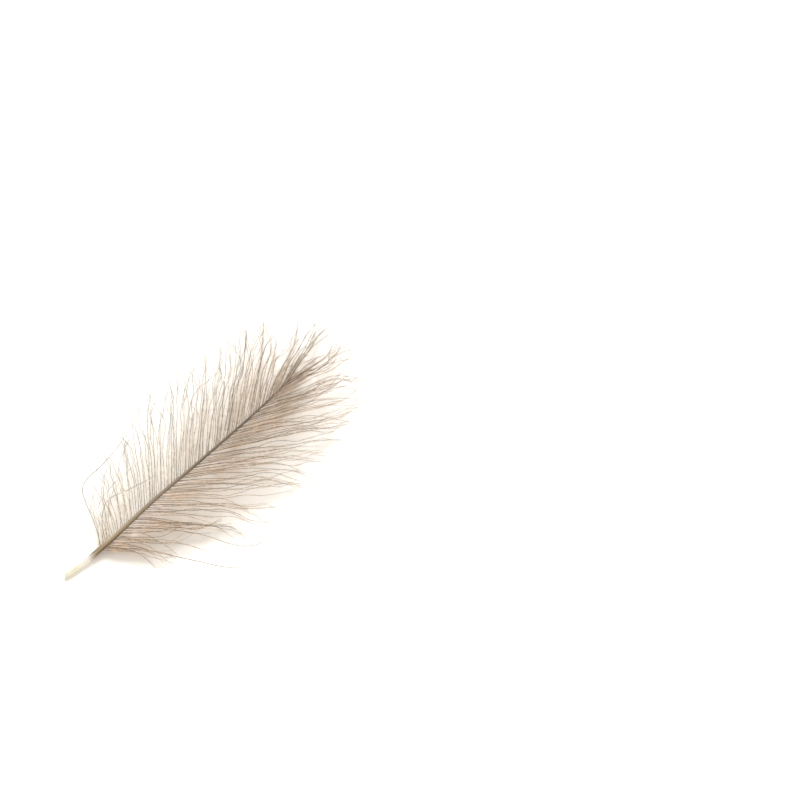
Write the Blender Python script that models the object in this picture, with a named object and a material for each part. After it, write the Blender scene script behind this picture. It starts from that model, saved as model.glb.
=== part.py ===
"""A duck's cul de canard feather, lying on a surface: one grown piece.

The quill runs along +X from its bare end, which rests on the surface at the origin, to the feather's tip.
The open vane on each side is built as a row of tapered locks, each standing for a few barbs, fused to the quill.
"""

import math

import bmesh
import bpy
from mathutils import Vector

# Driving dimensions, in metres unless the name says otherwise
QUILL_LENGTH = 0.044
BARE_QUILL = 0.0058
QUILL_BEND_DEG = 12.0
FLAT_REST_LENGTH = 0.0026
QUILL_REST_HEIGHT = 0.00030
ARCH_HEIGHT = 0.0024
TIP_DROP = 0.0009
BARB_LENGTH = 0.0215
BARB_LIFT_DEG = 4.0

# The sides of the vane, the end lock's own among them, and how the barbs of each side leave the quill
LEFT, RIGHT, ONWARD = 1, -1, 0
BASE_ANGLE_DEG = {LEFT: 66.0, RIGHT: 52.0}
TIP_ANGLE_DEG = {LEFT: 27.0, RIGHT: 24.0}
BASE_CURL_DEG = {LEFT: 12.0, RIGHT: 5.0}
TIP_CURL_DEG = -10.0
CURL_PIVOT = 0.35
CLOSED_AT_TIP = 0.35

# The quill's radius at shares of its length, from the butt to the tip
QUILL_RADII = (
    (0.00, 0.00027),
    (0.02, 0.00036),
    (0.06, 0.00041),
    (0.14, 0.00039),
    (0.26, 0.00031),
    (0.45, 0.00024),
    (0.70, 0.00018),
    (1.00, 0.00008),
)
QUILL_STATIONS = 27

# The locks of barbs
LOCKS_PER_SIDE = 31
LAST_LOCK_SHARE = 0.975
RIGHT_LOCKS_LAG = 0.4
LOCK_WIDTH = 0.00086
LOCK_THICKNESS = 0.00100
LOCK_STEPS = 8
LOCK_TAPER = ((0.0, 0.30), (0.25, 0.95), (0.40, 1.00), (0.65, 0.85), (0.88, 0.50), (1.0, 0.16))
LOCK_UNEVENNESS = 0.12
GOLDEN_SHARE = 0.618
HIGHEST_TIP = 0.0012
TIP_HEIGHT_CYCLE = 5
GROUND_CUT_DEPTH = 0.002
GROUND_CUT_WIDTH = 0.2

HORN = ("horn", (0.33, 0.25, 0.17), 0.42)
GUIDE = ("guide", (0.5, 0.5, 0.5), 0.5)


def smoothstep(low, high, value):
    """0 below low, 1 above high, and an eased rise between."""
    share = min(1.0, max(0.0, (value - low) / (high - low)))
    return share * share * (3 - 2 * share)


def interpolated(table, at):
    """The value at a share of the way along, from a table of (share, value) rows."""
    for (low, first), (high, second) in zip(table, table[1:]):
        if at <= high:
            return first + (second - first) * (at - low) / (high - low)
    return table[-1][1]


def quill_heading(share):
    """The quill's heading in the ground plane, in radians from +X: a shallow arc that bends to the left."""
    return math.radians(QUILL_BEND_DEG) * (share - 0.5)


def quill_height(share):
    """The centreline's height: flat on the surface at the bare end, up over an arch, and partly down again."""
    rise = ARCH_HEIGHT * smoothstep(0.05, 0.42, share)
    return QUILL_REST_HEIGHT + rise - TIP_DROP * smoothstep(0.55, 1.0, share)


def quill_point(share):
    """The centreline at a share of the quill's length, with the middle of its flat rest over the origin."""
    arc_radius = QUILL_LENGTH / math.radians(QUILL_BEND_DEG)
    rest, here = quill_heading(FLAT_REST_LENGTH / 2 / QUILL_LENGTH), quill_heading(share)
    along = arc_radius * (math.sin(here) - math.sin(rest))
    aside = arc_radius * (math.cos(rest) - math.cos(here))
    return Vector((along, aside, quill_height(share)))


def vane_share(share):
    """0 where the vane starts on the quill, and 1 at the tip."""
    first = BARE_QUILL / QUILL_LENGTH
    return (share - first) / (1 - first)


def barb_length(share):
    """Short by the bare quill, longest over the middle, and shorter again at the tip."""
    grows = 0.45 + 0.55 * smoothstep(0.10, 0.42, share)
    return BARB_LENGTH * grows * (1 - 0.38 * smoothstep(0.68, 1.0, share))


def barb_turn(side, share, along):
    """Radians from the quill's heading to a barb's: wide where the vane starts, and closing towards the tip.

    Along its length a barb curls outwards where the vane starts, and inwards at the tip.
    """
    if side == ONWARD:
        return 0.0
    onward = vane_share(share)
    angle = TIP_ANGLE_DEG[side] + (BASE_ANGLE_DEG[side] - TIP_ANGLE_DEG[side]) * (1 - onward) ** 1.3
    closed = 1 - (1 - CLOSED_AT_TIP) * smoothstep(0.82, 1.0, share)
    curl = BASE_CURL_DEG[side] + (TIP_CURL_DEG - BASE_CURL_DEG[side]) * onward
    return side * math.radians(angle * closed + curl * (along - CURL_PIVOT))


def barb_path(side, share, length, tip_height, steps):
    """Points from the quill's centreline to a barb's tip."""
    root = quill_point(share)
    points = [root]
    across = root.copy()
    lift = math.tan(math.radians(BARB_LIFT_DEG))
    drop = root.z + length * lift - tip_height
    for step in range(steps):
        heading = quill_heading(share) + barb_turn(side, share, (step + 0.5) / steps)
        across += Vector((math.cos(heading), math.sin(heading), 0)) * length / steps
        end = (step + 1) / steps
        height = root.z + length * lift * end - drop * end * end
        points.append(Vector((across.x, across.y, height)))
    return points


def material(name, colour, roughness):
    made = bpy.data.materials.new(name)
    made.use_nodes = True
    shader = made.node_tree.nodes["Principled BSDF"]
    shader.inputs["Base Color"].default_value = (*colour, 1)
    shader.inputs["Roughness"].default_value = roughness
    shader.inputs["Metallic"].default_value = 0.0
    return made


def clear_scene():
    for obj in list(bpy.data.objects):
        bpy.data.objects.remove(obj)


def collection(name):
    made = bpy.data.collections.new(name)
    bpy.context.scene.collection.children.link(made)
    return made


def lock_profile():
    """A lock's cross-section at full size: six-sided, and about as thick as it is wide."""
    half_width, half_thickness = LOCK_WIDTH / 2, LOCK_THICKNESS / 2
    corners = [(half_width, 0), (half_width / 2, half_thickness), (-half_width / 2, half_thickness)]
    corners += [(-x, -y) for x, y in corners]
    curve = bpy.data.curves.new("lock_profile", "CURVE")
    curve.dimensions = "2D"
    spline = curve.splines.new("POLY")
    spline.points.add(len(corners) - 1)
    for point, (x, y) in zip(spline.points, corners):
        point.co = (x, y, 0, 1)
    spline.use_cyclic_u = True
    return bpy.data.objects.new("lock_profile", curve)


def swept(name, path, scales, bevel_depth=0.0, profile=None):
    """A capped mesh along a path: round with a bevel depth, or with a profile's section, scaled at each point."""
    curve = bpy.data.curves.new(name, "CURVE")
    curve.dimensions = "3D"
    curve.twist_mode = "Z_UP"
    curve.use_fill_caps = True
    curve.bevel_resolution = 2
    if profile:
        curve.bevel_mode = "OBJECT"
        curve.bevel_object = profile
    else:
        curve.bevel_depth = bevel_depth
    spline = curve.splines.new("POLY")
    spline.points.add(len(path) - 1)
    for point, place, scale in zip(spline.points, path, scales):
        point.co = (*place, 1)
        point.radius = scale
    holder = bpy.data.objects.new(name, curve)
    bpy.context.scene.collection.objects.link(holder)
    bpy.context.view_layer.update()
    mesh = bpy.data.meshes.new_from_object(holder.evaluated_get(bpy.context.evaluated_depsgraph_get()))
    bpy.data.objects.remove(holder)
    weld_caps(mesh)
    return bpy.data.objects.new(name, mesh)


def weld_caps(mesh):
    """Joins a swept tube's loose caps to its sides, with its faces pointing out."""
    shape = bmesh.new()
    shape.from_mesh(mesh)
    bmesh.ops.remove_doubles(shape, verts=shape.verts, dist=1e-7)
    bmesh.ops.recalc_face_normals(shape, faces=shape.faces)
    shape.to_mesh(mesh)
    shape.free()


def build_quill():
    shares = [step / (QUILL_STATIONS - 1) for step in range(QUILL_STATIONS)]
    radii = [interpolated(QUILL_RADII, share) for share in shares]
    return swept("feather", [quill_point(share) for share in shares], radii, bevel_depth=1.0)


def lock_tip_height(index):
    """Every fifth lock reaches down to the surface, and those between end a little above it."""
    return HIGHEST_TIP * (1 - math.cos(math.tau * index / TIP_HEIGHT_CYCLE)) / 2


def lock_length(index, share):
    """The barbs' length there, less an uneven part of it that gives the vane a ragged edge."""
    return barb_length(share) * (1 - LOCK_UNEVENNESS * (index * GOLDEN_SHARE % 1))


def build_lock(side, index, share, profile):
    tip_height = quill_height(1.0) / 2 if side == ONWARD else lock_tip_height(index)
    path = barb_path(side, share, lock_length(index, share), tip_height, LOCK_STEPS)
    scales = [interpolated(LOCK_TAPER, step / LOCK_STEPS) for step in range(LOCK_STEPS + 1)]
    label = {LEFT: "left", RIGHT: "right", ONWARD: "end"}[side]
    return swept(f"lock_{label}_{index:02d}", path, scales, profile=profile)


def build_locks(profile):
    first = 1.06 * BARE_QUILL / QUILL_LENGTH
    step = (LAST_LOCK_SHARE - first) / (LOCKS_PER_SIDE - 1)
    locks = [
        build_lock(side, index, first + step * (index + lag), profile)
        for side, lag in ((LEFT, 0.0), (RIGHT, RIGHT_LOCKS_LAG))
        for index in range(LOCKS_PER_SIDE)
    ]
    locks.append(build_lock(ONWARD, 0, (1 + LAST_LOCK_SHARE) / 2, profile))
    return locks


def build_ground_cutter():
    """A slab under the surface, which leaves flats where the feather touches it."""
    bpy.ops.mesh.primitive_cube_add(size=1, location=(0, 0, -GROUND_CUT_DEPTH / 2))
    cutter = bpy.context.object
    cutter.name = "ground_cutter"
    cutter.data.transform(
        ((GROUND_CUT_WIDTH, 0, 0, 0), (0, GROUND_CUT_WIDTH, 0, 0), (0, 0, GROUND_CUT_DEPTH, 0), (0, 0, 0, 1))
    )
    return cutter


def hide_guide(guide, home):
    for used in list(guide.users_collection):
        used.objects.unlink(guide)
    home.objects.link(guide)
    guide.hide_render = True
    guide.display_type = "WIRE"


def add_boolean(obj, name, operation, **operand):
    boolean = obj.modifiers.new(name, "BOOLEAN")
    boolean.operation = operation
    boolean.solver = "EXACT"
    for field, value in operand.items():
        setattr(boolean, field, value)


def main():
    clear_scene()
    feather_home = collection("cul_de_canard_feather")
    lock_home = collection("locks")
    cutter_home = collection("cutters")

    profile = lock_profile()
    feather = build_quill()
    feather_home.objects.link(feather)
    feather.data.materials.append(material(*HORN))
    guide_material = material(*GUIDE)
    for lock in build_locks(profile):
        lock.data.materials.append(guide_material)
        hide_guide(lock, lock_home)
    bpy.data.objects.remove(profile)

    ground_cutter = build_ground_cutter()
    hide_guide(ground_cutter, cutter_home)
    add_boolean(feather, "fuse_locks", "UNION", operand_type="COLLECTION", collection=lock_home)
    add_boolean(feather, "rest_flat", "DIFFERENCE", object=ground_cutter)


main()
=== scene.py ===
"""The looks of a natural dun cul de canard feather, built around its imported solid.

A horn quill carries hair-thin tapered barbs on both sides, and every barb is fringed with fine barbules.
The shapes repeat the solid's own driving values, in metres, so the barbs lie where its locks lie.
"""

import math

import bpy
import numpy as np
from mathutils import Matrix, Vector

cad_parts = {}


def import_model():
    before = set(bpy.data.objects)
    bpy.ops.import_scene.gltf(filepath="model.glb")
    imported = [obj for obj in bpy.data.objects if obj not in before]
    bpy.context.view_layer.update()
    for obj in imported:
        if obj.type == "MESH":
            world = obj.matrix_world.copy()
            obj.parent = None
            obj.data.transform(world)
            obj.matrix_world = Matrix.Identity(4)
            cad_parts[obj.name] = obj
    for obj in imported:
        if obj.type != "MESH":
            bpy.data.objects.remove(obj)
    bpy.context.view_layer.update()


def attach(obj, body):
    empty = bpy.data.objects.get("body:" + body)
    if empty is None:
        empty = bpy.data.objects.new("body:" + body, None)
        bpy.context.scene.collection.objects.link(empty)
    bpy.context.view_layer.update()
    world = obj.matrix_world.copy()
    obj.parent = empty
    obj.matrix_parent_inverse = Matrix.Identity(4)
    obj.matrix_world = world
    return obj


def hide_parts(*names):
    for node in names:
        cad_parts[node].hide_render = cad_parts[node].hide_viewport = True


# The solid's driving values. Each pair of shares is where along the quill a change starts and ends.
QUILL_LENGTH = 0.044
BARE_QUILL = 0.0058
QUILL_BEND_DEG = 12.0
FLAT_REST_LENGTH = 0.0026
QUILL_REST_HEIGHT = 0.00030
ARCH_HEIGHT = 0.0024
ARCH_RISES_OVER = (0.05, 0.42)
TIP_DROP = 0.0009
TIP_DROPS_OVER = (0.55, 1.0)
BARB_LENGTH = 0.0215
LENGTH_AT_BUTT = 0.45
LENGTH_GROWS_OVER = (0.10, 0.42)
SHORTER_AT_TIP = 0.38
LENGTH_SHRINKS_OVER = (0.68, 1.0)
BARB_LIFT_DEG = 4.0
LEFT, RIGHT = 1, -1
BASE_ANGLE_DEG = {LEFT: 66.0, RIGHT: 52.0}
TIP_ANGLE_DEG = {LEFT: 27.0, RIGHT: 24.0}
ANGLE_POWER = 1.3
BASE_CURL_DEG = {LEFT: 12.0, RIGHT: 5.0}
TIP_CURL_DEG = -10.0
CURL_PIVOT = 0.35
CLOSED_AT_TIP = 0.35
VANE_CLOSES_OVER = (0.82, 1.0)
HIGHEST_TIP = 0.0012
LOCKS_PER_SIDE = 31
TIP_HEIGHT_CYCLE = 5

# The quill's radius at shares of its length: the solid's, with its butt rounded off and its tip finer
QUILL_RADII = (
    (0.00, 0.00020),
    (0.008, 0.00031),
    (0.02, 0.00036),
    (0.06, 0.00041),
    (0.14, 0.00039),
    (0.26, 0.00031),
    (0.45, 0.00024),
    (0.70, 0.00018),
    (1.00, 0.00006),
)
QUILL_STATIONS = 260
QUILL_CROWDING_AT_BUTT = 1.15
QUILL_SIDES = 24

# The seed of each side's random draws
SEEDS = {LEFT: 1, RIGHT: 7}

# The barbs: where they leave the quill, and how uneven their lengths and the heights of their tips are
BARBS_PER_SIDE = 104
BARB_STATIONS = 34
BARB_SIDES = 4
FIRST_BARB_SHARE = 1.02 * BARE_QUILL / QUILL_LENGTH
LAST_BARB_SHARE = 0.997
CROWDING_AT_BASE = {LEFT: 1.0, RIGHT: 1.12}
UNEVEN_SPACING = 0.35
UNEVEN_LENGTH = 0.24
SHORT_BARB_RARITY = 1.6
BROKEN_BARBS = 0.06
BROKEN_LENGTHS = (0.5, 0.85)
UNEVEN_TIP_HEIGHT = 0.00015
LOWEST_TIP = 0.00004
GROUND_CLEARANCE = 0.00001

# A barb's radius, flared where it leaves the quill
BARB_ROOT_RADIUS = {LEFT: 0.000031, RIGHT: 0.000038}
BARB_TIP_RADIUS = 0.000014
BARB_TAPER = {LEFT: 0.25, RIGHT: 0.7}
ROOT_FLARE = 1.5
ROOT_FLARE_ENDS = 0.06
THICKER_AT_BASE = {LEFT: 0.0, RIGHT: 0.22}

# Where along the quill the ways of the vane's base fade into the ordinary ones
BASE_FADES_OVER = (0.14, 0.40)

# How the barbs are drawn together into small and wide clumps: how many barbs a clump holds, and how
# strongly they are drawn, from 0, not at all, to 1, until they meet
CLUMP_SIZES = ((2, 4), (6, 12))
SMALL_CLUMPING = {LEFT: 0.18, RIGHT: 0.42}
WIDE_CLUMPING = {LEFT: 0.05, RIGHT: 0.12}
SMALL_CLUMPING_AT_BASE = {LEFT: 0.45, RIGHT: 0.85}
WIDE_CLUMPING_AT_BASE = {LEFT: 0.15, RIGHT: 0.6}
WEAKEST_CLUMP = 0.1
CLUMPING_GROWS_OVER = (0.05, 0.6)

# How they turn off their plain course: a few swing off alone, all wander a little, and small groups drift
BENT_BARBS = {LEFT: 0.09, RIGHT: 0.06}
BEND_DEG = 32.0
BEND_STARTS = (0.1, 0.65)
WANDER_DEG = 1.6
DRIFTING_GROUP = (3, 6)
DRIFT_DEG = {LEFT: 1.5, RIGHT: 2.5}
DRIFT_AT_BASE_DEG = {LEFT: 4.0, RIGHT: 9.0}
DRIFT_STARTS = (0.0, 0.35)
TURN_SPAN = 0.3

# How wavy they are: the length and the size of each wave, and the size of the curl at a barb's end
WAVES = ((0.0026, 0.000035), (0.0055, 0.00011), (0.0105, 0.00030))
UPWARD_SHARE = 0.6
END_CURL = 0.0010
END_CURL_STARTS = 0.55
END_CURL_SPAN = 0.45
WILDNESS = {LEFT: 1.0, RIGHT: 1.35}
WILDNESS_AT_BASE = {LEFT: 2.0, RIGHT: 1.7}

# Barbs that stray from the vane: where each leaves the quill, its length, the height its tip comes down to,
# and its headings at shares of its length, in degrees from +X
LEFT_STRAYS = (
    (0.142, 0.0216, 0.0005, ((0.08, 60), (0.26, 70), (0.42, 65), (0.50, 24), (0.58, 2), (0.85, 14))),
    (0.163, 0.0150, 0.0006, ((0.14, 60), (0.39, 33), (0.56, -19), (0.93, -8))),
)
RIGHT_STRAYS = (
    (0.141, 0.0213, 0.0001, ((0.20, -48), (0.44, -63), (0.62, -57), (0.76, -59), (0.86, -46), (0.96, -40))),
    (0.162, 0.0155, 0.0003, ((0.18, -43), (0.55, -47), (0.87, -67))),
    (0.236, 0.0236, 0.0002, ((0.13, -48), (0.39, -56), (0.56, -65), (0.69, -56), (0.83, -21), (0.94, -14))),
)
STRAY_BARBS = {LEFT: LEFT_STRAYS, RIGHT: RIGHT_STRAYS}
STRAY_RADII = ((0.0, 0.000038), (0.8, 0.000042), (1.0, 0.000012))
STRAY_WILDNESS = 0.15
STRAY_FLUFF = 0.25

# The barbules: each is a needle of four triangles, and a piece holds fewer than 200,000 triangles.
# They grow in tufts, and are shorter and fewer towards a barb's tip.
BARBULES_PER_PIECE = {LEFT: 48000, RIGHT: 43500}
BARBULES_PER_TUFT = 5
BARBULE_LENGTH = 0.00112
BARBULE_WIDTH = 0.0000073
BARBULE_LENGTH_AT_ROOT = 0.45
FULL_LENGTH_FROM = 0.15
SHORTENING_OUTWARDS = 0.62
THINNING_OUTWARDS = {LEFT: 0.70, RIGHT: 0.76}
LAST_BARBULE_SHARE = 0.99
LOWEST_BARBULE = 0.000012

# The angle between a tuft and its barb, and how it rises or dips
BARBULE_ANGLE_DEG = 52.0
CLOSING_OUTWARDS_DEG = 14.0
UNEVEN_ANGLE_DEG = 13.0
TUFT_RISE_DEG = 4.0
UNEVEN_RISE_DEG = 26.0

# How full the fringes are from barb to barb, how long the tufts are, and how the barbules of a tuft differ
FLUFF_RANGE = (0.55, 1.35)
FLUFF_AT_BASE = {LEFT: 0.05, RIGHT: 0.1}
TUFT_LENGTHS = (0.5, 1.2)
LENGTHS_IN_TUFT = (0.75, 1.1)
SPACING_IN_TUFT = 0.00007
SPREAD_IN_TUFT = 0.13

# Waves over the vane that make some patches of it fluffier: radians per barb, radians over a barb's length,
# and the phase. The first two make wide patches, and the third small ones.
PATCH_WAVES = ((0.55, 5.0, 0.0), (0.21, -9.0, 1.3), (1.7, 3.0, 0.0))
WIDE_PATCHINESS = 0.22
SMALL_PATCHINESS = 0.12

# The colours along a barb's stem, and along the barbules' places on it, from the quill to the tip
STEM_COLOURS = {
    LEFT: ((0.0, (0.17, 0.14, 0.11)), (0.45, (0.21, 0.19, 0.17)), (1.0, (0.23, 0.235, 0.245))),
    RIGHT: ((0.0, (0.15, 0.115, 0.08)), (0.5, (0.21, 0.17, 0.13)), (1.0, (0.25, 0.22, 0.195))),
}
FRINGE_COLOURS = {
    LEFT: ((0.0, (0.96, 0.935, 0.89)), (0.4, (0.96, 0.94, 0.90)), (1.0, (0.92, 0.915, 0.90))),
    RIGHT: ((0.0, (0.97, 0.885, 0.80)), (0.4, (0.97, 0.885, 0.785)), (1.0, (0.95, 0.88, 0.79))),
}

# The shade along the vane, from where it starts to the feather's tip
VANE_SHADES = {
    LEFT: ((0.05, (0.98, 0.97, 0.96)), (0.35, (1.0, 1.0, 1.0)), (0.9, (0.80, 0.725, 0.64))),
    RIGHT: (
        (0.04, (0.98, 0.97, 0.95)),
        (0.27, (1.0, 1.0, 1.0)),
        (0.4, (0.93, 0.91, 0.88)),
        (0.9, (0.78, 0.73, 0.67)),
    ),
}

# The colours along the quill, from the butt to the tip: on its flanks, its left edge and its ridge
BUTT_HORN = (0.92, 0.925, 0.81)
# Just past the butt the quill is near-white all round: clear horn, with a painted highlight
CLEAR_HORN_AND_HIGHLIGHT = (0.94, 0.93, 0.92)
FLANK_COLOURS = (
    (0.0, BUTT_HORN),
    (0.05, (0.93, 0.93, 0.83)),
    (0.09, CLEAR_HORN_AND_HIGHLIGHT),
    (0.12, (0.35, 0.275, 0.175)),
    (0.15, (0.29, 0.225, 0.145)),
    (0.25, (0.41, 0.34, 0.255)),
    (0.42, (0.52, 0.44, 0.36)),
    (0.56, (0.32, 0.26, 0.20)),
    (1.0, (0.16, 0.12, 0.085)),
)
LEFT_EDGE_COLOURS = (
    (0.0, BUTT_HORN),
    (0.09, CLEAR_HORN_AND_HIGHLIGHT),
    (0.115, (0.34, 0.27, 0.17)),
    (0.14, (0.50, 0.40, 0.26)),
    (0.18, (0.82, 0.73, 0.56)),
    (0.25, (0.66, 0.56, 0.43)),
    (0.33, (0.47, 0.39, 0.31)),
    (0.56, (0.34, 0.28, 0.21)),
    (1.0, (0.15, 0.11, 0.075)),
)
RIDGE_COLOURS = (
    (0.0, BUTT_HORN),
    (0.09, CLEAR_HORN_AND_HIGHLIGHT),
    (0.13, (0.60, 0.51, 0.36)),
    (0.20, (0.66, 0.56, 0.41)),
    (0.30, (0.60, 0.51, 0.40)),
    (0.60, (0.42, 0.35, 0.27)),
    (1.0, (0.20, 0.15, 0.11)),
)

# How many patches of noise there are along a barb, and along and around the quill
MOTTLES_ALONG_BARB = 34.0
FIBRES_ALONG_QUILL = 40.0
FIBRES_AROUND_QUILL = 60.0

# The camera: it looks at a point on the surface from the photograph's angle and distance
CAMERA_AZIMUTH_DEG = -46.11
CAMERA_ELEVATION_DEG = 58.0
CAMERA_TARGET = (0.05179, -0.01327, 0.0)
CAMERA_DISTANCE = 0.2776
CAMERA_LENS = 85.0

# The soft key light and the light from all round
KEY_AZIMUTH_DEG = 134.0
KEY_ELEVATION_DEG = 33.0
KEY_DISTANCE = 1.0
KEY_SIZE = 0.4
KEY_POWER = 14.0
KEY_COLOUR = (1.0, 1.0, 1.0)
SKY_STRENGTH = 0.84
SKY_COLOUR = (1.0, 0.925, 0.845)

# The floor
FLOOR_SIZE = 2.4
FLOOR_DROP = 0.00001

# The UV map. A barb has its own row of it, and keeps within a margin of that row's edges.
UV_NAME = "OFBake"
ROW_MARGIN = 0.15
BARBULE_UV_WIDTH = 0.0006
BARBULE_UV_REACH = 0.4


def smoothstep(low, high, value):
    share = np.clip((value - low) / (high - low), 0.0, 1.0)
    return share * share * (3 - 2 * share)


def unit(vectors):
    return vectors / np.linalg.norm(vectors, axis=-1, keepdims=True)


def quill_heading(share):
    """The quill's heading in the ground plane, in radians from +X."""
    return math.radians(QUILL_BEND_DEG) * (share - 0.5)


def quill_height(share):
    rise = ARCH_HEIGHT * smoothstep(*ARCH_RISES_OVER, share)
    return QUILL_REST_HEIGHT + rise - TIP_DROP * smoothstep(*TIP_DROPS_OVER, share)


def quill_points(share):
    """Points of the quill's centreline at shares of its length."""
    arc_radius = QUILL_LENGTH / math.radians(QUILL_BEND_DEG)
    rest, here = quill_heading(FLAT_REST_LENGTH / 2 / QUILL_LENGTH), quill_heading(share)
    along = arc_radius * (np.sin(here) - math.sin(rest))
    aside = arc_radius * (math.cos(rest) - np.cos(here))
    return np.stack([along, aside, quill_height(share)], axis=-1)


def quill_radius(share):
    shares, radii = zip(*QUILL_RADII)
    return np.interp(share, shares, radii)


def vane_share(share):
    """0 where the vane starts on the quill, and 1 at the tip."""
    first = BARE_QUILL / QUILL_LENGTH
    return (share - first) / (1 - first)


def near_base(share):
    """1 where the vane starts, fading to 0 over its first third."""
    return 1 - smoothstep(*BASE_FADES_OVER, share)


def barb_length(share):
    grows = LENGTH_AT_BUTT + (1 - LENGTH_AT_BUTT) * smoothstep(*LENGTH_GROWS_OVER, share)
    return BARB_LENGTH * grows * (1 - SHORTER_AT_TIP * smoothstep(*LENGTH_SHRINKS_OVER, share))


def barb_turn(side, share, along):
    """Radians from the quill's heading to a barb's."""
    onward = vane_share(share)
    wider = (BASE_ANGLE_DEG[side] - TIP_ANGLE_DEG[side]) * (1 - onward) ** ANGLE_POWER
    closed = 1 - (1 - CLOSED_AT_TIP) * smoothstep(*VANE_CLOSES_OVER, share)
    curl = BASE_CURL_DEG[side] + (TIP_CURL_DEG - BASE_CURL_DEG[side]) * onward
    return side * np.radians((TIP_ANGLE_DEG[side] + wider) * closed + curl * (along - CURL_PIVOT))


def tip_height(share):
    """The height a barb's tip comes down to: some locks reach the surface, and the rest end above it."""
    lock = vane_share(share) * (LOCKS_PER_SIDE - 1)
    return HIGHEST_TIP * (1 - np.cos(math.tau * lock / TIP_HEIGHT_CYCLE)) / 2


def barb_ends():
    """The share of a barb's length at each of its stations."""
    return np.linspace(0, 1, BARB_STATIONS)


def barb_middles():
    """The share of a barb's length halfway between its stations."""
    return barb_ends()[1:] - 0.5 / (BARB_STATIONS - 1)


def plain_paths(shares, lengths, tips, headings):
    """The smooth paths of many barbs, as an array of barb, station and coordinate."""
    stride = (lengths / (BARB_STATIONS - 1))[:, None]
    roots = quill_points(shares)
    flat = np.stack([np.cos(headings) * stride, np.sin(headings) * stride], axis=-1).cumsum(axis=1)
    paths = np.repeat(roots[:, None, :], BARB_STATIONS, axis=1)
    paths[:, 1:, :2] += flat
    lift = math.tan(math.radians(BARB_LIFT_DEG))
    drop = roots[:, 2] + lengths * lift - tips
    paths[:, :, 2] += (lengths * lift)[:, None] * barb_ends() - drop[:, None] * barb_ends() ** 2
    return paths


def clumped(paths, rng, smallest, largest, strongest):
    """Neighbouring barbs drawn together towards their tips, in clumps of random size and strength.

    strongest is how strongly each barb may be drawn at most.
    """
    sizes = rng.integers(smallest, largest + 1, len(paths))
    clump = np.repeat(np.arange(len(sizes)), sizes)[: len(paths)]
    counts = np.bincount(clump)
    means = np.stack([paths[clump == each].mean(axis=0) for each in range(len(counts))])
    pull = strongest * rng.uniform(WEAKEST_CLUMP, 1.0, len(counts))[clump]
    weight = pull[:, None] * smoothstep(*CLUMPING_GROWS_OVER, barb_ends())
    return paths + weight[:, :, None] * (means[clump] - paths)


def waved(paths, lengths, wildness, rng):
    """Barbs given their own uneven waves and a curl at the tip, sideways and up and down."""
    ends = barb_ends()
    travelled = lengths[:, None] * ends
    aside = unit(np.cross((0.0, 0.0, 1.0), unit(np.gradient(paths, axis=1))))
    sideways = np.zeros(travelled.shape)
    upwards = np.zeros(travelled.shape)
    for wavelength, size in WAVES:
        for push, share in ((sideways, 1.0), (upwards, UPWARD_SHARE)):
            phase = rng.uniform(0, math.tau, len(paths))[:, None]
            strength = (wildness * rng.normal(0, size * share, len(paths)))[:, None]
            push += strength * (np.sin(math.tau * travelled / wavelength + phase) - np.sin(phase))
    curl = (wildness * rng.normal(0, END_CURL, len(paths)))[:, None]
    curl = curl * np.clip((ends - END_CURL_STARTS) / END_CURL_SPAN, 0, 1) ** 2
    paths = paths + aside * (sideways * ends + curl)[:, :, None]
    paths[:, :, 2] += upwards * ends
    return paths


def bends(count, share_bent, rng):
    """Extra turns along the barbs, in radians: a few swing off their neighbours' course on the way out."""
    bent = rng.random(count) < share_bent
    swing = np.where(bent, rng.normal(0, math.radians(BEND_DEG), count), 0.0)
    start = rng.uniform(*BEND_STARTS, count)[:, None]
    wander = rng.normal(0, math.radians(WANDER_DEG), count)
    return wander[:, None] + swing[:, None] * smoothstep(start, start + TURN_SPAN, barb_middles())


def drifts(count, rng):
    """Turns along the barbs that small groups of neighbours share, mostly between -1 and 1."""
    smallest, largest = DRIFTING_GROUP
    sizes = rng.integers(smallest, largest + 1, count)
    group = np.repeat(np.arange(count), sizes)[:count]
    drift = rng.normal(0, 1, count)[group][:, None]
    start = rng.uniform(*DRIFT_STARTS, count)[group][:, None]
    return drift * smoothstep(start, start + TURN_SPAN, barb_middles())


def regular_barbs(side, count, rng):
    """The vane's own barbs: where they leave the quill, their lengths and their paths, drawn into clumps."""
    places = (np.arange(count) + 0.5 + rng.uniform(-UNEVEN_SPACING, UNEVEN_SPACING, count)) / count
    shares = FIRST_BARB_SHARE + (LAST_BARB_SHARE - FIRST_BARB_SHARE) * places ** CROWDING_AT_BASE[side]
    lengths = barb_length(shares) * (1 - UNEVEN_LENGTH * rng.random(count) ** SHORT_BARB_RARITY)
    broken = rng.random(count) < BROKEN_BARBS
    lengths[broken] *= rng.uniform(*BROKEN_LENGTHS, broken.sum())
    tips = np.clip(tip_height(shares) + rng.normal(0, UNEVEN_TIP_HEIGHT, count), LOWEST_TIP, None)
    drift = DRIFT_DEG[side] + (DRIFT_AT_BASE_DEG[side] - DRIFT_DEG[side]) * near_base(shares)
    turns = barb_turn(side, shares[:, None], barb_middles()) + bends(count, BENT_BARBS[side], rng)
    turns += np.radians(drift)[:, None] * drifts(count, rng)
    paths = plain_paths(shares, lengths, tips, quill_heading(shares)[:, None] + turns)
    strengths = (SMALL_CLUMPING, SMALL_CLUMPING_AT_BASE), (WIDE_CLUMPING, WIDE_CLUMPING_AT_BASE)
    for (smallest, largest), (ordinary, at_base) in zip(CLUMP_SIZES, strengths):
        strongest = ordinary[side] + (at_base[side] - ordinary[side]) * near_base(shares)
        paths = clumped(paths, rng, smallest, largest, strongest)
    return shares, lengths, paths


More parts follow.
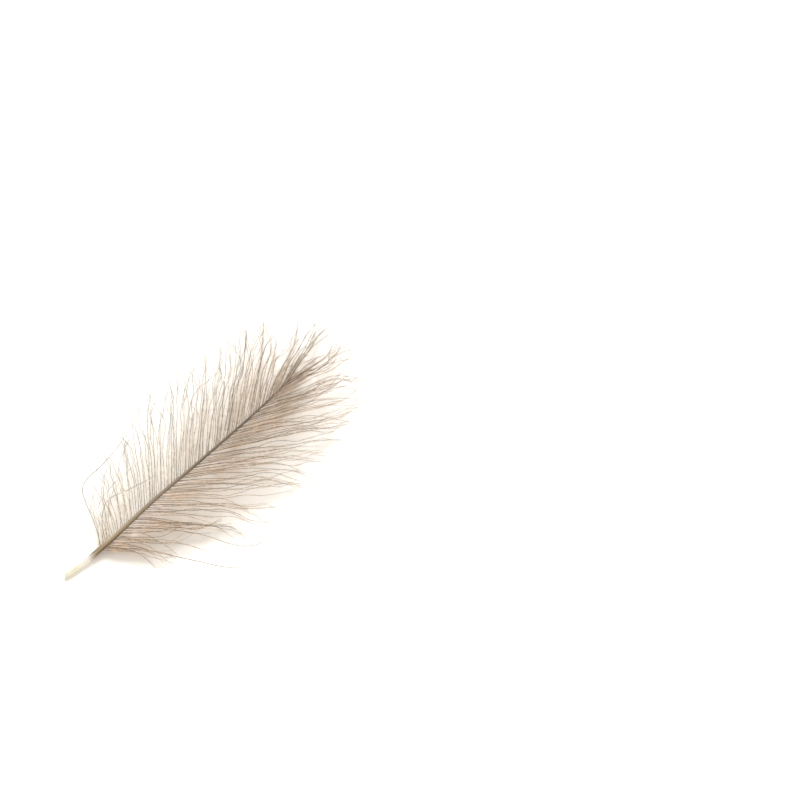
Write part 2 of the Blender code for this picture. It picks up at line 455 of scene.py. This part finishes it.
def stray_barbs(side):
    """The barbs that leave the vane's course, in the same terms as the regular ones."""
    shares, lengths, tips, courses = zip(*STRAY_BARBS[side])
    shares, lengths, tips = (np.array(each) for each in (shares, lengths, tips))
    headings = np.radians([np.interp(barb_middles(), *zip(*course)) for course in courses])
    return shares, lengths, plain_paths(shares, lengths, tips, headings)


def barb_radii(side, shares, is_stray):
    """The radius at each barb's stations. A stray stays thick for most of its length."""
    ends = barb_ends()
    taper = BARB_TIP_RADIUS + (BARB_ROOT_RADIUS[side] - BARB_TIP_RADIUS) * (1 - ends) ** BARB_TAPER[side]
    regular = taper * (1 + THICKER_AT_BASE[side] * near_base(shares))[:, None]
    stray = np.interp(ends, *zip(*STRAY_RADII))
    flare = np.interp(ends, (0, ROOT_FLARE_ENDS), (ROOT_FLARE, 1))
    return np.where(is_stray[:, None], stray, regular * flare)


def grow_side(side, rng):
    """One side's barbs in order along the quill: their paths, lengths, radii and how full each fringe is."""
    strays = len(STRAY_BARBS[side])
    regular = regular_barbs(side, BARBS_PER_SIDE - strays, rng)
    shares, lengths, paths = (np.concatenate(pair) for pair in zip(regular, stray_barbs(side)))
    order = np.argsort(shares, kind="stable")
    is_stray = order >= BARBS_PER_SIDE - strays
    shares, lengths, paths = shares[order], lengths[order], paths[order]
    wildness = WILDNESS[side] + (WILDNESS_AT_BASE[side] - WILDNESS[side]) * near_base(shares)
    wildness[is_stray] = STRAY_WILDNESS
    paths = waved(paths, lengths, wildness, rng)
    radii = barb_radii(side, shares, is_stray)
    paths[:, :, 2] = np.maximum(paths[:, :, 2], radii + GROUND_CLEARANCE)
    fluff = rng.uniform(*FLUFF_RANGE, len(paths)) * (1 + FLUFF_AT_BASE[side] * near_base(shares))
    return paths, lengths, radii, np.where(is_stray, STRAY_FLUFF, fluff)


def tube_triangles(stations, sides):
    """The triangles of one closed tube whose points are listed ring by ring."""
    triangles = []
    for ring in range(stations - 1):
        for corner in range(sides):
            here, beside = ring * sides + corner, ring * sides + (corner + 1) % sides
            triangles.append((here, here + sides, beside + sides))
            triangles.append((here, beside + sides, beside))
    last = (stations - 1) * sides
    for corner in range(1, sides - 1):
        triangles.append((0, corner, corner + 1))
        triangles.append((last, last + corner + 1, last + corner))
    return np.array(triangles)


def tubes(paths, radii, sides):
    """The points and triangles of closed tubes along many paths. The points of a tube go ring by ring."""
    count, stations = paths.shape[:2]
    tangents = unit(np.gradient(paths, axis=1))
    aside = unit(np.cross(tangents, (0.0, 0.0, 1.0)))
    above = np.cross(aside, tangents)
    turn = math.tau * np.arange(sides) / sides
    spread = np.cos(turn)[:, None] * aside[:, :, None, :] + np.sin(turn)[:, None] * above[:, :, None, :]
    points = paths[:, :, None, :] + radii[:, :, None, None] * spread
    template = tube_triangles(stations, sides)
    starts = np.arange(count) * stations * sides
    triangles = (template[None, :, :] + starts[:, None, None]).reshape(-1, 3)
    return points.reshape(-1, 3), triangles


def mesh_piece(name, points, triangles, places, material, smooth=True):
    """A mesh object with a UV map made of one (along, across) place for each of its points."""
    mesh = bpy.data.meshes.new(name)
    mesh.vertices.add(len(points))
    mesh.vertices.foreach_set("co", points.astype(np.float32).ravel())
    mesh.loops.add(triangles.size)
    mesh.loops.foreach_set("vertex_index", triangles.astype(np.int32).ravel())
    mesh.polygons.add(len(triangles))
    mesh.polygons.foreach_set("loop_start", np.arange(0, triangles.size, 3, dtype=np.int32))
    mesh.update(calc_edges=True)
    mesh.polygons.foreach_set("use_smooth", np.full(len(triangles), smooth))
    layer = mesh.uv_layers.new(name=UV_NAME)
    layer.data.foreach_set("uv", places[triangles.ravel()].astype(np.float32).ravel())
    mesh.materials.append(material)
    piece = bpy.data.objects.new(name, mesh)
    bpy.context.scene.collection.objects.link(piece)
    return piece


def build_barbs(name, paths, radii, material):
    """The stems of one side's barbs, each unwrapped onto its own row of the UV map, there and back."""
    points, triangles = tubes(paths, radii, BARB_SIDES)
    there_and_back = np.abs(1 - 2 * np.arange(BARB_SIDES) / BARB_SIDES)
    across = ROW_MARGIN + (1 - 2 * ROW_MARGIN) * there_and_back
    rows = (np.arange(len(paths))[:, None, None] + across) / len(paths)
    rows = np.broadcast_to(rows, (len(paths), BARB_STATIONS, BARB_SIDES))
    shares = np.broadcast_to(barb_ends()[None, :, None], rows.shape)
    places = np.stack([shares, rows], axis=-1).reshape(-1, 2)
    return mesh_piece(name, points, triangles, places, material)


def along_path(paths, barb, along):
    """The points and directions at shares along the chosen barbs."""
    steps = BARB_STATIONS - 1
    step = np.minimum((along * steps).astype(int), steps - 1)
    part = (along * steps - step)[:, None]
    low, high = paths[barb, step], paths[barb, step + 1]
    return low + (high - low) * part, unit(high - low)


def patchiness(barb, along):
    """A smooth uneven field over the vane, from about 0.5 to 1.5."""
    first, second, small = (
        np.sin(by_barb * barb + by_length * along + phase) for by_barb, by_length, phase in PATCH_WAVES
    )
    return 1 + WIDE_PATCHINESS * (first + second) + SMALL_PATCHINESS * small


def tuft_directions(forward, along, rng):
    """The direction of each tuft, forwards and outwards to either side, and which side that is."""
    aside = unit(np.cross(forward, (0.0, 0.0, 1.0)))
    above = np.cross(aside, forward)
    hand = rng.choice((-1.0, 1.0), len(forward))
    open_angle = np.radians(rng.normal(BARBULE_ANGLE_DEG - CLOSING_OUTWARDS_DEG * along, UNEVEN_ANGLE_DEG))
    rise = np.radians(rng.normal(TUFT_RISE_DEG, UNEVEN_RISE_DEG, len(forward)))
    outward = (hand * np.cos(rise))[:, None] * aside + np.sin(rise)[:, None] * above
    return np.cos(open_angle)[:, None] * forward + np.sin(open_angle)[:, None] * outward, hand


def needles(roots, direction, reach):
    """Closed needles of four triangles, each from a small triangle at its root to a point."""
    width = BARBULE_WIDTH / math.sqrt(3)
    across = unit(np.cross(direction, (0.0, 0.0, 1.0)))
    over = np.cross(across, direction)
    points = np.empty((len(roots), 4, 3))
    for corner in range(3):
        turn = math.tau * corner / 3
        points[:, corner] = roots + width * (math.cos(turn) * across + math.sin(turn) * over)
    points[:, 3] = roots + direction * reach[:, None]
    points[:, :, 2] = np.maximum(points[:, :, 2], LOWEST_BARBULE)
    template = np.array([(0, 1, 2), (0, 3, 1), (1, 3, 2), (2, 3, 0)])
    triangles = (template[None] + 4 * np.arange(len(roots))[:, None, None]).reshape(-1, 3)
    return points.reshape(-1, 3), triangles


def build_barbules(name, paths, lengths, fluff, chosen, count, thinning, rng, material):
    """The fringe of the chosen barbs. thinning is how much of it is lost by the barbs' tips."""
    share = (lengths * fluff)[chosen]
    tufts = count // BARBULES_PER_TUFT
    barb = rng.choice(chosen, tufts, p=share / share.sum())
    # An even draw from 0 to 1 becomes a place on a fringe that thins steadily outwards
    draw = rng.random(tufts)
    along = (1 - np.sqrt(1 - draw * thinning * (2 - thinning))) / thinning
    direction, hand = tuft_directions(along_path(paths, barb, along)[1], along, rng)
    grown = BARBULE_LENGTH_AT_ROOT + (1 - BARBULE_LENGTH_AT_ROOT) * smoothstep(0.0, FULL_LENGTH_FROM, along)
    full_length = grown * (1 - SHORTENING_OUTWARDS * along)
    reach = BARBULE_LENGTH * full_length * rng.uniform(*TUFT_LENGTHS, tufts) * patchiness(barb, along)

    barb, along, direction, hand, reach = (
        np.repeat(each, BARBULES_PER_TUFT, axis=0) for each in (barb, along, direction, hand, reach)
    )
    along = along + rng.normal(0, SPACING_IN_TUFT, count) / lengths[barb]
    along = np.clip(along, 0.0, LAST_BARBULE_SHARE)
    direction = unit(direction + rng.normal(0, SPREAD_IN_TUFT, (count, 3)))
    roots = along_path(paths, barb, along)[0]
    points, triangles = needles(roots, direction, reach * rng.uniform(*LENGTHS_IN_TUFT, count))
    places = np.empty((count, 4, 2))
    places[:, :, 0] = along[:, None] + np.array([-BARBULE_UV_WIDTH, BARBULE_UV_WIDTH, 0.0, 0.0])
    places[:, :3, 1] = (barb[:, None] + 0.5) / len(paths)
    places[:, 3, 1] = (barb + 0.5 + BARBULE_UV_REACH * hand) / len(paths)
    return mesh_piece(name, points, triangles, places.reshape(-1, 2), material, smooth=False)


def build_quill(material):
    """The quill, with its stations closer together towards the butt and nothing of it below the surface."""
    shares = np.linspace(0, 1, QUILL_STATIONS) ** QUILL_CROWDING_AT_BUTT
    path = quill_points(shares)[None]
    radii = quill_radius(shares)[None]
    points, triangles = tubes(path, radii, QUILL_SIDES)
    around = np.arange(QUILL_SIDES) / QUILL_SIDES
    places = np.stack(np.broadcast_arrays(shares[:, None], around[None, :]), axis=-1).reshape(-1, 2)
    points[:, 2] = np.maximum(points[:, 2], 0.0)
    return mesh_piece("quill", points, triangles, places, material)


def new_material(name):
    material = bpy.data.materials.new(name)
    material.use_nodes = True
    nodes, links = material.node_tree.nodes, material.node_tree.links
    return material, nodes, links, nodes["Principled BSDF"]


def math_node(nodes, links, operation, first, second=None):
    node = nodes.new("ShaderNodeMath")
    node.operation = operation
    for socket, value in zip(node.inputs, (first, second)):
        if value is None:
            continue
        if isinstance(value, (int, float)):
            socket.default_value = value
        else:
            links.new(value, socket)
    return node.outputs[0]


def colour_ramp(nodes, links, value, stops):
    """A colour ramp on a value, from stops of (place, colour)."""
    ramp = nodes.new("ShaderNodeValToRGB")
    elements = ramp.color_ramp.elements
    while len(elements) < len(stops):
        elements.new(0.5)
    for element, (place, colour) in zip(elements, stops):
        element.position = place
        element.color = (*colour, 1)
    links.new(value, ramp.inputs["Fac"])
    return ramp.outputs["Color"]


def mixed(nodes, links, blend, factor, first, second):
    """Two colours mixed. The colours of a Mix node are its inputs 6 and 7 and its output 2."""
    node = nodes.new("ShaderNodeMix")
    node.data_type = "RGBA"
    node.blend_type = blend
    if isinstance(factor, float):
        node.inputs["Factor"].default_value = factor
    else:
        links.new(factor, node.inputs["Factor"])
    links.new(first, node.inputs[6])
    links.new(second, node.inputs[7])
    return node.outputs[2]


def noise_texture(nodes, links, detail, *coordinates):
    """Noise at a place given by up to three values, in which its patches are about one unit wide."""
    spread = nodes.new("ShaderNodeCombineXYZ")
    for value, socket in zip(coordinates, spread.inputs):
        links.new(value, socket)
    noise = nodes.new("ShaderNodeTexNoise")
    noise.inputs["Scale"].default_value = 1.0
    noise.inputs["Detail"].default_value = detail
    links.new(spread.outputs[0], noise.inputs["Vector"])
    return noise.outputs["Fac"]


def uv_coordinates(nodes, links):
    uv = nodes.new("ShaderNodeUVMap")
    uv.uv_map = UV_NAME
    split = nodes.new("ShaderNodeSeparateXYZ")
    links.new(uv.outputs["UV"], split.inputs[0])
    return split.outputs["X"], split.outputs["Y"]


def rough_from(nodes, links, shader, value, lowest, spread):
    """Roughness that rises with a value between 0 and 1."""
    rough = math_node(nodes, links, "MULTIPLY", value, spread)
    links.new(math_node(nodes, links, "ADD", rough, lowest), shader.inputs["Roughness"])


def let_light_through(nodes, links, shader, colour, share):
    """Mixes in the light that passes through a thin surface from behind."""
    glow = nodes.new("ShaderNodeBsdfTranslucent")
    links.new(colour, glow.inputs["Color"])
    both = nodes.new("ShaderNodeMixShader")
    both.inputs["Fac"].default_value = share
    links.new(shader.outputs["BSDF"], both.inputs[1])
    links.new(glow.outputs["BSDF"], both.inputs[2])
    links.new(both.outputs["Shader"], nodes["Material Output"].inputs["Surface"])


def barb_material(name, along_barb, along_vane, dark, light, mottling, glow):
    """Dun barbs: colours along the barb and along the vane, lighter and darker barbs, and mottling. A strong
    light end paints glints on some barbs as well as their own lighter tone.
    """
    material, nodes, links, shader = new_material(name)
    along, rows = uv_coordinates(nodes, links)
    place = math_node(nodes, links, "MULTIPLY", rows, float(BARBS_PER_SIDE))
    row = math_node(nodes, links, "FLOOR", place)
    barb_tint = colour_ramp(nodes, links, along, along_barb)
    vane_tint = colour_ramp(nodes, links, rows, along_vane)
    colour = mixed(nodes, links, "MULTIPLY", 1.0, barb_tint, vane_tint)
    # Each barb drawn darker or lighter at random: its own tone, and where the light end is strong, painted
    # glints
    each = nodes.new("ShaderNodeTexWhiteNoise")
    each.noise_dimensions = "1D"
    links.new(row, each.inputs["W"])
    tone_and_glint_stops = ((0.0, dark), (0.5, (1, 1, 1)), (1.0, light))
    shade = colour_ramp(nodes, links, each.outputs["Value"], tone_and_glint_stops)
    colour = mixed(nodes, links, "MULTIPLY", 1.0, colour, shade)
    patch = math_node(nodes, links, "MULTIPLY", along, MOTTLES_ALONG_BARB)
    mottle = noise_texture(nodes, links, 3.0, patch, place)
    patches = colour_ramp(nodes, links, mottle, ((0.3, (0.6, 0.58, 0.56)), (0.7, (1.3, 1.3, 1.3))))
    colour = mixed(nodes, links, "MULTIPLY", mottling, colour, patches)
    links.new(colour, shader.inputs["Base Color"])
    rough_from(nodes, links, shader, mottle, lowest=0.4, spread=0.3)
    shader.inputs["Specular IOR Level"].default_value = 0.3
    let_light_through(nodes, links, shader, colour, share=glow)
    return material


def band(nodes, links, around, centre, inside, outside):
    """1 on a band along the quill: within one distance of its centre, in turns, and 0 beyond another."""
    offset = math_node(nodes, links, "SUBTRACT", around, centre)
    offset = math_node(nodes, links, "ABSOLUTE", offset)
    return colour_ramp(nodes, links, offset, ((inside, (1, 1, 1)), (outside, (0, 0, 0))))


def horn_material():
    """The quill: clear yellowish horn at the butt, whitened just past it by a painted highlight, then dun
    brown with a paler left edge and ridge.
    """
    material, nodes, links, shader = new_material("horn")
    along, around = uv_coordinates(nodes, links)
    on_left = band(nodes, links, around, centre=0.44, inside=0.17, outside=0.21)
    on_ridge = band(nodes, links, around, centre=0.19, inside=0.05, outside=0.09)
    flank = colour_ramp(nodes, links, along, FLANK_COLOURS)
    left_edge = colour_ramp(nodes, links, along, LEFT_EDGE_COLOURS)
    colour = mixed(nodes, links, "MIX", on_left, flank, left_edge)
    ridge = colour_ramp(nodes, links, along, RIDGE_COLOURS)
    colour = mixed(nodes, links, "MIX", on_ridge, colour, ridge)
    lengthwise = math_node(nodes, links, "MULTIPLY", along, FIBRES_ALONG_QUILL)
    crosswise = math_node(nodes, links, "MULTIPLY", around, FIBRES_AROUND_QUILL)
    fibres = noise_texture(nodes, links, 4.0, lengthwise, crosswise)
    streaks = colour_ramp(nodes, links, fibres, ((0.3, (0.78, 0.77, 0.75)), (0.7, (1.12, 1.12, 1.12))))
    colour = mixed(nodes, links, "MULTIPLY", 0.7, colour, streaks)
    links.new(colour, shader.inputs["Base Color"])
    rough_from(nodes, links, shader, fibres, lowest=0.28, spread=0.25)
    bump = nodes.new("ShaderNodeBump")
    bump.inputs["Strength"].default_value = 0.3
    bump.inputs["Distance"].default_value = 0.00002
    links.new(fibres, bump.inputs["Height"])
    links.new(bump.outputs["Normal"], shader.inputs["Normal"])
    let_light_through(nodes, links, shader, colour, share=0.6)
    return material


def floor_material():
    material, nodes, links, shader = new_material("pale_floor")
    noise = nodes.new("ShaderNodeTexNoise")
    noise.inputs["Scale"].default_value = 40.0
    tones = ((0.3, (0.91, 0.90, 0.875)), (0.7, (0.94, 0.93, 0.905)))
    tone = colour_ramp(nodes, links, noise.outputs["Fac"], tones)
    links.new(tone, shader.inputs["Base Color"])
    shader.inputs["Roughness"].default_value = 0.8
    shader.inputs["Specular IOR Level"].default_value = 0.1
    return material


def build_floor():
    """The floor, just under the surface that the feather lies on, so that no faces coincide."""
    half = FLOOR_SIZE / 2
    corners = np.array([(-half, -half, 0), (half, -half, 0), (half, half, 0), (-half, half, 0)], float)
    corners[:, 2] = -FLOOR_DROP
    triangles = np.array([(0, 1, 2), (0, 2, 3)])
    places = np.array([(0, 0), (1, 0), (1, 1), (0, 1)], float)
    return mesh_piece("floor", corners, triangles, places, floor_material())


def direction_from(azimuth_deg, elevation_deg):
    """The unit vector towards an azimuth and elevation; at azimuth 0 it points to -Y."""
    azimuth, elevation = math.radians(azimuth_deg), math.radians(elevation_deg)
    flat = math.cos(elevation)
    return Vector((math.sin(azimuth) * flat, -math.cos(azimuth) * flat, math.sin(elevation)))


def aim_object(holder, target, away, distance):
    """Puts an object at a distance from the target, looking at it."""
    holder.location = Vector(target) + away * distance
    holder.rotation_mode = "QUATERNION"
    holder.rotation_quaternion = (-away).to_track_quat("-Z", "Y")
    bpy.context.scene.collection.objects.link(holder)


def build_key_light():
    light = bpy.data.lights.new("key", "AREA")
    light.size = KEY_SIZE
    light.energy = KEY_POWER
    light.color = KEY_COLOUR
    middle = (QUILL_LENGTH / 2, 0.0, 0.0)
    away = direction_from(KEY_AZIMUTH_DEG, KEY_ELEVATION_DEG)
    aim_object(bpy.data.objects.new("key", light), middle, away, KEY_DISTANCE)


def build_camera():
    camera = bpy.data.cameras.new("camera")
    camera.lens = CAMERA_LENS
    camera.sensor_width = 36.0
    camera.clip_start = 0.01
    camera.clip_end = 20.0
    holder = bpy.data.objects.new("camera", camera)
    away = direction_from(CAMERA_AZIMUTH_DEG, CAMERA_ELEVATION_DEG)
    aim_object(holder, CAMERA_TARGET, away, CAMERA_DISTANCE)
    bpy.context.scene.camera = holder


def build_world():
    world = bpy.data.worlds.new("studio")
    world.use_nodes = True
    background = world.node_tree.nodes["Background"]
    background.inputs["Color"].default_value = (*SKY_COLOUR, 1)
    background.inputs["Strength"].default_value = SKY_STRENGTH
    bpy.context.scene.world = world
    bpy.context.scene.view_settings.view_transform = "Standard"


def build_side(side, label):
    """One side of the vane: a piece of barbs, and a piece of barbules for each half of them."""
    stems = barb_material(
        f"dun_barb_{label}",
        STEM_COLOURS[side],
        VANE_SHADES[side],
        dark=(0.55, 0.53, 0.51),
        # The stems' light end: their own lighter tone, and at this strength also painted glints, as on stems
        # that catch the light
        light=(1.8, 1.75, 1.68),
        mottling=1.0,
        glow=0.1,
    )
    fringe = barb_material(
        f"dun_barbule_{label}",
        FRINGE_COLOURS[side],
        VANE_SHADES[side],
        dark=(0.85, 0.83, 0.80),
        light=(1.10, 1.10, 1.09),
        mottling=0.6,
        glow=0.5,
    )
    rng = np.random.default_rng(SEEDS[side])
    paths, lengths, radii, fluff = grow_side(side, rng)
    pieces = [build_barbs(f"barbs_{label}", paths, radii, stems)]
    half = BARBS_PER_SIDE // 2
    for part, chosen in (("lower", np.arange(half)), ("upper", np.arange(half, BARBS_PER_SIDE))):
        pieces.append(
            build_barbules(
                f"barbules_{label}_{part}",
                paths,
                lengths,
                fluff,
                chosen,
                BARBULES_PER_PIECE[side],
                THINNING_OUTWARDS[side],
                rng,
                fringe,
            )
        )
    return pieces


def main():
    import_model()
    pieces = [build_quill(horn_material())]
    pieces += build_side(LEFT, "left")
    pieces += build_side(RIGHT, "right")
    for piece in pieces:
        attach(piece, "root")
        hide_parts("feather")
    build_floor()
    build_world()
    build_key_light()
    build_camera()


main()
